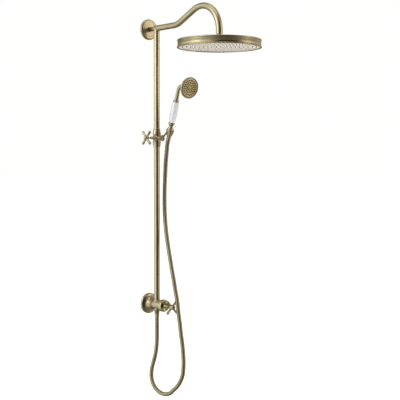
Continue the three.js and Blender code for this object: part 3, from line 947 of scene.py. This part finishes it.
valveMesh = cast(
    "valve_body",
    [
        turned("body", bodyOutline, wallLow, 96, 0.3),
        turned("boss", outletBoss, valveDown, 96, 0.3),
        turned("socket", pipeSocket, valveDown, 96, 0.3),
    ],
    [
        turned("bore", disc(10.7, 23, 36.4), wallLow, 64, 0),
        turned("bore", disc(6, 30, 67), wallLow, 48, 0),
        turned("bore", disc(14.2, 66, 87), wallLow, 64, 0),
        turned("bore", disc(11.5, 6.5, 30), valveDown, 64, 0),
        turned("bore", disc(5.1, -8, 8), valveDown, 48, 0),
        turned("bore", disc(8.9, -22, -6.6), valveDown, 64, 0),
    ],
    0.55, 4,
)
makePiece("valve_body", valveMesh, "column", ["diverter_body"], antiqueBrass, 50)
glandOutline = [
    (4.85, 83.3), (13.8, 83.3), (13.8, 85.8), (17.3, 85.8), (17.3, 89), (9, 89), (9, 92.6), (8.4, 94),
    (4.85, 94),
]
turnedPiece("gland", glandOutline, wallLow, 96, 0.3, "column", "gland_nut", shadedBrass)
bonnetOutline = (
    [(19, 86), (22.4, 86)]
    + throughPoints([(22.9, 86.2), (23.4, 87.2), (23.5, 88.6)], 3)
    + [(23.5, 90.2), (23.1, 90.7), (23.1, 91.3), (23.5, 91.8), (23.5, 98.4)]
    + throughPoints([(23.4, 99.4), (22.9, 101.6), (21.6, 103.8), (19.6, 104.9), (17.4, 104.5),
        (15.4, 102.8), (13.8, 101.4)], 4)
    + [(11.5, 100.8), (9.4, 100.8), (9.4, 98.5), (19, 98.5)]
)
turnedPiece("bonnet", bonnetOutline, wallLow, 128, 0.25, "column", "bonnet_ring", antiqueBrass)
spindleOutline = [(0, 69.8), (4.4, 69.8), (4.4, 126), (3.6, 126), (3.6, 138), (0, 138)]
turnedPiece(
    "valve_spindle", spindleOutline, wallLow, 64, 0.3, "diverter", "diverter_spindle",
    shadedBrass,
)


# Cross handle about local z: a turned hub and four arms that swell to round tips
def crossMesh(name, hub, place, plane, bores):
    club = [(0, 2)] + throughPoints(
        [(4.6, 2.4), (4.2, 9), (4.2, 15), (4.6, 21), (5.2, 26.5), (5.5, 29.6), (5.2, 32), (3.6, 33.8),
            (1.4, 34.2)], 4
    ) + [(0, 34.2)]
    parts = [turned(name, hub, place, 96, 0.3)]
    for angle in (45, 135, 225, 315):
        lay = Matrix.Translation((0, 0, plane * mm)) @ Matrix.Rotation(math.radians(angle), 4, "Z")
        parts.append(turned(name, club, place @ lay @ Matrix.Rotation(math.radians(-90), 4, "X"), 40, 0))
    return cast(name, parts, [turned("bore", bore, place, 48, 0) for bore in bores], 0.5, 3)


handlePlane = -handleAt.y / mm
handleHub = (
    [(0, 103.2), (8.7, 103.2)]
    + throughPoints([(9.0, 104.4), (9.0, 106.2), (7.6, 110.5), (6.6, 117), (6.4, 124), (7.0, 132),
        (8.6, 138.6)], 4)
    + throughPoints([(9.5, 142), (9.9, 147), (9.5, 152), (8, 155.8)], 4)
    + [(0, 155.8)]
)
handleMesh = crossMesh(
    "cross_handle", handleHub, wallLow, handlePlane,
    [disc(4.9, 102, 126.3), disc(3.9, 126, 138.5), disc(2.6, 138, 151), disc(5, 150, 157)],
)
makePiece("cross_handle", handleMesh, "diverter", ["diverter_handle"], antiqueBrass, 50)
handleCapOutline = (
    [(0, 153.2), (4.6, 153.2), (4.6, 156.3), (7.8, 156.3), (7.9, 157)]
    + throughPoints([(7.6, 157.8), (6.6, 159.0), (4.6, 160.0), (2.2, 160.5), (0.3, 160.6)], 4) + [(0, 160.6)]
)
turnedPiece(
    "handle_button", handleCapOutline, wallLow, 72, 0.2, "diverter", "handle_cap", antiqueBrass,
)
outletOutline = [
    (5.6, -9), (8.4, -9), (8.4, -21.3), (9.9, -21.3), (9.9, -22.6), (9.5, -23.1), (9.5, -23.6), (9.9, -24.1),
    (9.9, -30), (9.2, -31.8), (9.2, -34.5), (5.6, -34.5),
]
turnedPiece(
    "outlet_nut", outletOutline, valveDown, 120, 0.3, "column", "outlet_collar", shadedBrass,
    (18, 0.6, -30, -24.3),
)
print("diverter valve made")

holderFrame = upright(holderPivot.x, holderPivot.y, holderPivot.z)
turnedPiece(
    "bush", collar(11.5, 12.6, -21.5, 21.5), holderFrame, 96, 0.3, "carriage", "slider_bush",
    whiteNylon,
)
sleeveSide = throughPoints(
    [(12.9, 34.6), (13.3, 31), (14.1, 27), (15.0, 21), (15.6, 15), (15.2, 10.4), (14.8, 7.4), (14.8, -7.4),
     (15.2, -10.4), (15.6, -15), (15.0, -21), (14.1, -27), (13.3, -31), (12.9, -34.6)], 4
)
sleeveOutline = [(0, 36), (12.7, 36), (13.3, 35.2)] + sleeveSide + [(13.3, -35.2), (12.7, -36), (0, -36)]
clampBoss = [(0, 8), (7.6, 8)] + throughPoints(
    [(7.2, 12), (6.4, 16), (5.5, 21), (4.8, 26), (4.5, 29.4)], 4
) + [(5.0, 30), (5.0, 31.4), (4.6, 32), (0, 32)]
crossBoss = [(0, -13), (6.4, -13), (7.2, -11.6), (7.2, 10.6), (6.6, 12), (0, 12)]  # in front of the pipe
pivotBoss = [(0, 8), (9, 8), (9, 15.4), (8.5, 16), (8.5, 17), (9, 17.6), (9, 21.4), (8.6, 22), (0, 22)]
holderMesh = cast(
    "slider_casting",
    [
        turned("sleeve", sleeveOutline, holderFrame, 96, 0.25),
        turned("clamp", clampBoss, holderFrame @ toLeft, 64, 0.25),
        turned("cross", crossBoss, upright(0, -9.8 * mm) @ holderFrame @ toLeft, 64, 0.25),
        turned("pivot", pivotBoss, holderFrame @ toRight, 64, 0.25),
    ],
    [
        turned("bore", disc(11.8, -37, 37), holderFrame, 96, 0),
        turned("bore", disc(13.1, -21.8, 21.8), holderFrame, 96, 0),
        turned("bore", disc(3.3, 10, 33), holderFrame @ toLeft, 48, 0),
        turned("bore", disc(2.9, 10, 23), holderFrame @ toRight, 48, 0),
    ],
    0.45, 3,
)
makePiece("slider_casting", holderMesh, "holder", ["slider_body"], antiqueBrass, 50)
screwOutline = [(0, 14.5), (2.6, 14.5)]
for turn in range(14):
    screwOutline += [(2.9, 15.4 + 1.1 * turn), (2.5, 15.9 + 1.1 * turn)]
screwOutline += [(2.5, 31.4), (2.9, 32), (2.9, 45), (0, 45)]
turnedPiece(
    "clamp_spindle", screwOutline, holderFrame @ toLeft, 48, 0, "clamp", "clamp_screw",
    zincSteel,
)
knobPlane = (holderPivot.x - knobAt.x) / mm
knobHub = (
    [(0, 40.5), (5, 40.5)]
    + throughPoints([(5.9, 41.6), (7.4, 43.6), (9.2, 46.8), (9.8, 50), (9.2, 53.6), (7.6, 56.2)], 4)
    + [(0, 56.2)]
)
knobMesh = crossMesh(
    "clamp_cross", knobHub, holderFrame @ toLeft, knobPlane, [disc(3.2, 39, 45.3), disc(3.3, 52, 58)]
)
makePiece("clamp_cross", knobMesh, "clamp", ["clamp_knob"], antiqueBrass, 50)
knobCapOutline = (
    [(0, 52.4), (3, 52.4), (3, 56.6), (7.1, 56.6), (7.3, 57.2)]
    + throughPoints([(6.9, 58.2), (5.6, 59.6), (3.4, 60.5), (1.2, 60.7)], 4) + [(0, 60.7)]
)
turnedPiece(
    "knob_button", knobCapOutline, holderFrame @ toLeft, 64, 0.2, "clamp", "knob_cap",
    antiqueBrass,
)
turnedPiece(
    "pivot_washer", collar(3.3, 9.2, 22.3, 23.7), holderFrame @ toRight, 72, 0.25, "holder",
    "friction_washer", whiteNylon,
)
pivotOutline = (
    [(0, 14.5), (2.5, 14.5), (2.5, 31.3), (6.2, 31.3), (6.5, 31.9)]
    + throughPoints([(6.3, 33), (5.4, 34.3), (3.6, 35.1), (1.2, 35.4)], 4) + [(0, 35.4)]
)


# Box as a cutting tool, its corners in millimetres
def blockMesh(name, low, high, place):
    corners = [
        place @ (Vector((x, y, z)) * mm)
        for x in (low[0], high[0]) for y in (low[1], high[1]) for z in (low[2], high[2])
    ]
    faces = [[0, 1, 3, 2], [4, 6, 7, 5], [0, 4, 5, 1], [2, 3, 7, 6], [0, 2, 6, 4], [1, 5, 7, 3]]
    return meshOf(name, corners, faces)


pivotMesh = bored(
    "pivot_bolt",
    turned("pivot_bolt", pivotOutline, holderFrame @ toRight, 64, 0.2),
    [blockMesh("slot", (-0.7, -8, 34), (0.7, 8, 37), holderFrame @ toRight)],
)
makePiece("pivot_bolt", pivotMesh, "holder", ["pivot_screw"], antiqueBrass)

cradle = {"strut": 52.0}  # the strut's lean in degrees
strutSide = throughPoints([(4.2, 7), (3.6, 12), (3.2, 20), (3.2, 30), (3.6, 36), (4.4, 41)], 4)
strutOutline = [(0, 6)] + strutSide + [(0, 42)]
strutPlace = Matrix.Translation(holderPivot + Vector((27.5, 0, 0)) * mm) @ Matrix.Rotation(
    math.radians(cradle["strut"]), 4, "X"
)
discOutline = [
    (0, 24), (10.8, 24), (11.8, 24.6), (12.2, 25.6), (12.2, 29.4), (11.8, 30.4), (10.8, 31), (8.6, 31),
    (8.2, 30.6),
    (7.6, 30.6), (7.2, 31), (0, 31),
]
coneOutline = [
    (0, 8), (10.7, 8), (11.1, 8.6), (11.0, 9.6), (11.5, 12), (14.9, 28), (15.3, 28.6), (15.3, 30.6),
    (14.9, 31), (0, 31),
]
cradleMesh = cast(
    "handset_cradle",
    [
        turned("disc", discOutline, holderFrame @ toRight, 72, 0.25),
        turned("strut", strutOutline, strutPlace, 40, 0),
        turned("cone", coneOutline, handsetFrame, 96, 0.25),
    ],
    [
        turned("bore", [(0, 7), (8.93, 7), (13.28, 32), (0, 32)], handsetFrame, 96, 0),
        blockMesh("mouth", (-8.3, -23, 5), (8.3, -3, 35), handsetFrame),
        turned("bore", disc(3.2, 20, 32), holderFrame @ toRight, 48, 0),
    ],
    0.45, 3,
)
makePiece("handset_cradle", cradleMesh, "cradle_arm", ["cradle"], antiqueBrass, 50)
print("holder and cradle made")

handsetParts = {
    "handset_base": (
        [(4, 16.1), (6.7, 16.1), (6.7, 27.3), (11.2, 27.3), (11.8, 31.3), (14.4, 31.3), (14.7, 31.8),
            (14.7, 32.8)]
        + throughPoints([(14.2, 33.6), (12.9, 35), (11.2, 38), (9.4, 41.6), (8.2, 44.6), (7.4, 47)], 4)
        + [(7.3, 47.7), (4, 47.7)],
        "handset_spigot", "brass", antiqueBrass,
    ),
    "lower_collar": (
        [(6.25, 48), (7.5, 48), (7.5, 49.2), (8.4, 50.2), (8.4, 51)]
        + throughPoints([(9, 51.8), (10.4, 53), (11.8, 54.8), (12.2, 56.6)], 4)
        + [(12.2, 58.2), (11.9, 58.6), (12.1, 59.2), (11.7, 60), (6.25, 60)],
        "handset_lower_collar", "brass", antiqueBrass,
    ),
    "lower_seal": (collar(6.3, 10.2, 60.3, 61), "grip_seal_lower", "rubber", blackRubber),
    "upper_seal": (collar(6.3, 10.2, 144, 144.7), "grip_seal_upper", "rubber", blackRubber),
    "upper_collar": (
        [(6.25, 145), (10.8, 145), (11.3, 145.6), (11.4, 146.6)]
        + throughPoints([(10.9, 148), (9.4, 150), (8.3, 152.4), (7.9, 154.6)], 4)
        + [(8.3, 155), (8.3, 156.2), (7.9, 156.9), (6.25, 156.9)],
        "handset_upper_collar", "brass", antiqueBrass,
    ),
}
for name, (outline, node, slotName, finish) in handsetParts.items():
    turnedPiece(name, outline, handsetFrame, 96, 0.25, "hand_shower", node, finish)
gripOutline = (
    [(6.4, 61.3), (9.9, 61.3)]
    + throughPoints([(10.4, 61.8), (10.9, 63.6), (11.8, 67), (13.3, 79), (14.15, 98), (13.8, 114),
        (12.3, 133),
                     (11.0, 141), (10.5, 143.1)], 6)
    + [(10.1, 143.7), (6.4, 143.7)]
)
turnedPiece(
    "porcelain_handle", gripOutline, handsetFrame, 96, 0.3, "hand_shower", "porcelain_grip",
    porcelainGlaze,
)

neck = {
    "tilt": 12.0,  # of the spray face, downwards
    "bend": 22.0,
    "corner": 208.4,  # where the handle's line meets the face's line
    "start": 157.3,
    "end": 33.5,
    "radius": 7.0,
    "bore": 5.0,
}
neckTurn = math.pi / 2 + math.radians(neck["tilt"]) - handsetLean


def neckLine():
    tangent = neck["bend"] * math.tan(neckTurn / 2)
    bendStart = neck["corner"] - tangent
    points = []  # forward, up, in the hand shower's frame
    for step in range(12):
        points.append((0.0, neck["start"] + (bendStart - neck["start"]) * step / 12))
    for step in range(31):
        angle = neckTurn * step / 30
        points.append((neck["bend"] * (1 - math.cos(angle)), bendStart + neck["bend"] * math.sin(angle)))
    for step in range(1, 7):
        reach = tangent + (neck["end"] - tangent) * step / 6
        points.append((reach * math.sin(neckTurn), neck["corner"] + reach * math.cos(neckTurn)))
    return [handsetFrame @ (Vector((0, -out, up)) * mm) for out, up in points]


def neckRadius(index, angle):
    share = max(0.0, 1 - index / 9)
    return (neck["radius"] + 0.5 * share * share) * mm


makePiece(
    "handset_gooseneck", swept("handset_gooseneck", neckLine(), neckRadius, 56, neck["bore"] * mm),
    "hand_shower",
    ["handset_neck"], antiqueBrass,
)
sprayFrame = (
    handsetFrame @ Matrix.Translation((0, 0, neck["corner"] * mm)) @ Matrix.Rotation(neckTurn, 4, "X")
)
sprayOutline = (
    [(5.1, 33.8), (8.0, 33.8), (8.4, 34.6), (8.1, 35.6)]
    + throughPoints([(8.4, 36.6), (10.2, 39.6), (14, 43), (19, 46.4), (25, 49.6), (31, 52.4), (36, 55),
        (39.4, 58)], 4)
    + [(40.4, 60), (40.5, 61.2), (40.1, 61.7), (40.5, 62.3), (40.5, 64.4), (40.1, 65.2), (39.2, 65.8),
        (38, 65.8)]
    + [(37.4, 65.2), (37.4, 59.2), (33, 56), (23, 51), (12.5, 45), (7, 40)]
)
turnedPiece(
    "handset_rose", sprayOutline, sprayFrame, 144, 0.25, "hand_shower", "handset_shell",
    antiqueBrass,
)
faceRings = [(10.4, 8), (18.6, 14), (27.0, 20)]
faceOutline = [
    (2, 63.5), (31.2, 63.5), (31.2, 65.45), (30.4, 65.2), (30, 64.2), (24, 64.2), (23.4, 65.0), (22.4, 65.0),
    (21.8, 64.2), (15.4, 64.2), (14.9, 65.0), (14.1, 65.0), (13.6, 64.2), (7.4, 64.2), (6.6, 65.2),
    (4.4, 65.3),
    (2, 65.3),
]
turnedPiece(
    "handset_face", faceOutline, sprayFrame, 128, 0.2, "hand_shower", "handset_face_plate",
    goldenBrass,
)
faceBorder = [(31.2, 63.5), (36.5, 63.5), (36.5, 64.0), (35.7, 64.7), (33.6, 65.4), (31.4, 65.5),
    (31.2, 65.45)]
turnedPiece(
    "handset_face_border", faceBorder, sprayFrame, 128, 0.2, "hand_shower", "handset_face_plate",
    antiqueBrass,
)
faceMat = nozzleMat(
    "handset_nozzles", sprayFrame, collar(2, 36.3, 61.1, 63.2), faceRings, 63.0, 66.2, 2.1, 1
)
makePiece("handset_nozzles", faceMat, "hand_shower", ["handset_nozzle_mat"], nozzleSilicone, 50)
faceScrewOutline = (
    [(0, 61.4), (1.6, 61.4), (1.6, 65.5), (3.4, 65.5)] + throughPoints([(3.3, 66), (2.4, 66.7), (0.8, 67)],
        4) + [(0, 67)]
)
faceScrewMesh = bored(
    "face_screw",
    turned("face_screw", faceScrewOutline, sprayFrame, 48, 0.15),
    [blockMesh("slot", (-0.4, -4, 66.3), (0.4, 4, 68), sprayFrame)],
)
makePiece("face_screw", faceScrewMesh, "hand_shower", ["handset_face_screw"], antiqueBrass)
print("hand shower made")

innerFinish = {
    "upper_wall_plate": zincSteel, "stem_grub_screw": zincSteel, "tee_o_ring": blackRubber,
    "riser_washer": redFibre,
    "arm_nipple": shadedBrass, "ball_seat": whiteNylon, "head_gasket": blackRubber,
    "head_chamber_plate": whiteNylon,
    "inlet_nipple": shadedBrass, "inlet_washer": redFibre, "cartridge_shell": whiteNylon,
    "ceramic_disc": groundCeramic, "handle_screw": zincSteel, "hose_lower_washer": blackRubber,
    "clamp_pad": whiteNylon, "hose_upper_washer": blackRubber, "handset_gasket": blackRubber,
    "handset_inner_tube": shadedBrass,
}
for node, finish in innerFinish.items():
    item = frame["nodes"][node]
    item.data.materials.clear()
    item.data.materials.append(finish)
print("inner pieces finished")

studio = {
    "floorDrop": 0.25,  # below the lowest piece, so the hose clears it when the holder is low
    "floorSize": 600.0,
    "backdrop": (1.0, 1.0, 0.995, 1),
    "base": 0.36,
    "left": 1.05,  # the broad pale glow on the left
    "right": 0.38,
    "warm": (1.0, 0.93, 0.76, 1),
    "cool": (0.93, 1.0, 1.12, 1),
    "rosy": (1.0, 0.96, 1.04, 1),
    "shadeTurn": 20.0,  # degrees right of the view, where the dark card stands
}


def setFloor():
    low = cadBounds[0][2] - studio["floorDrop"]
    half = studio["floorSize"] / 2
    corners = [(-half, -half, low), (half, -half, low), (half, half, low), (-half, half, low)]
    mesh = meshOf("floor", corners, [[0, 1, 2, 3]])
    item = looseObject("floor", mesh)
    pale = bpy.data.materials.new("paleFloor")
    pale.use_nodes = True
    shader = pale.node_tree.nodes["Principled BSDF"]
    shader.inputs["Base Color"].default_value = (0.88, 0.88, 0.875, 1)
    shader.inputs["Roughness"].default_value = 0.9
    shader.inputs["Specular IOR Level"].default_value = 0.1
    shader.inputs["Emission Color"].default_value = (1, 1, 0.995, 1)
    shader.inputs["Emission Strength"].default_value = 0.7
    mesh.materials.append(pale)
    item.visible_glossy = False


def setWorld():
    world = bpy.data.worlds.new("studio")
    bpy.context.scene.world = world
    world.use_nodes = True
    tree = world.node_tree
    tree.nodes.clear()
    place = nodeIn(tree, "ShaderNodeTexCoord").outputs["Generated"]

    def towards(direction, low, high):
        node = nodeIn(tree, "ShaderNodeVectorMath", operation="DOT_PRODUCT")
        feed(tree, node.inputs[0], place)
        node.inputs[1].default_value = direction
        return ramp(tree, node.outputs["Value"], low, high)

    def around(degrees):  # a level direction, turned right from the camera's own side
        turn = math.radians(degrees)
        return tuple((-ahead) * math.cos(turn) + aside * math.sin(turn))

    left = maths(tree, "MULTIPLY", towards(around(-70), 0.35, 0.95), studio["left"])
    right = maths(tree, "MULTIPLY", towards(around(105), 0.3, 0.95), studio["right"])
    dark = towards(around(studio["shadeTurn"]), 0.62, 0.93)
    unshaded = maths(tree, "SUBTRACT", 1.0, maths(tree, "MULTIPLY", dark, 0.9))
    glow = None
    for strength, tint in ((studio["base"], "warm"), (left, "cool"), (right, "rosy")):
        part = nodeIn(tree, "ShaderNodeBackground")
        part.inputs["Color"].default_value = studio[tint]
        feed(tree, part.inputs["Strength"], maths(tree, "MULTIPLY", unshaded, strength))
        if glow:
            both = nodeIn(tree, "ShaderNodeAddShader")
            feed(tree, both.inputs[0], glow)
            feed(tree, both.inputs[1], part.outputs[0])
            glow = both.outputs[0]
        else:
            glow = part.outputs[0]
    plain = nodeIn(tree, "ShaderNodeBackground")
    plain.inputs["Color"].default_value = studio["backdrop"]
    seen = nodeIn(tree, "ShaderNodeMixShader")
    feed(tree, seen.inputs[0], nodeIn(tree, "ShaderNodeLightPath").outputs["Is Camera Ray"])
    feed(tree, seen.inputs[1], glow)
    feed(tree, seen.inputs[2], plain.outputs[0])
    feed(tree, nodeIn(tree, "ShaderNodeOutputWorld").inputs["Surface"], seen.outputs[0])


def softbox(name, turn, away, height, size, power, tint):
    data = bpy.data.lights.new(name, "AREA")
    data.shape = "RECTANGLE"
    data.size, data.size_y = size
    data.energy = power
    data.color = tint
    item = bpy.data.objects.new(name, data)
    angle = math.radians(turn)
    side = (-ahead) * math.cos(angle) + aside * math.sin(angle)
    target = Vector((riserAt.x, riserAt.y, 0.5))
    item.location = target + side * away + Vector((0, 0, height))
    item.rotation_euler = (target - item.location).to_track_quat("-Z", "Y").to_euler()
    item.visible_camera = False
    bpy.context.scene.collection.objects.link(item)


setFloor()
setWorld()
softbox("keyLight", -62, 3.2, 1.6, (1.8, 3.0), 30, (0.97, 1.0, 1.04))
softbox("fillLight", 78, 3.4, 1.0, (1.4, 2.6), 16, (1.0, 0.95, 0.97))
softbox("topLight", 0, 0.4, 3.2, (2.5, 2.5), 25, (1.0, 1.0, 1.0))
bpy.context.scene.view_settings.view_transform = "Standard"
print("studio set")
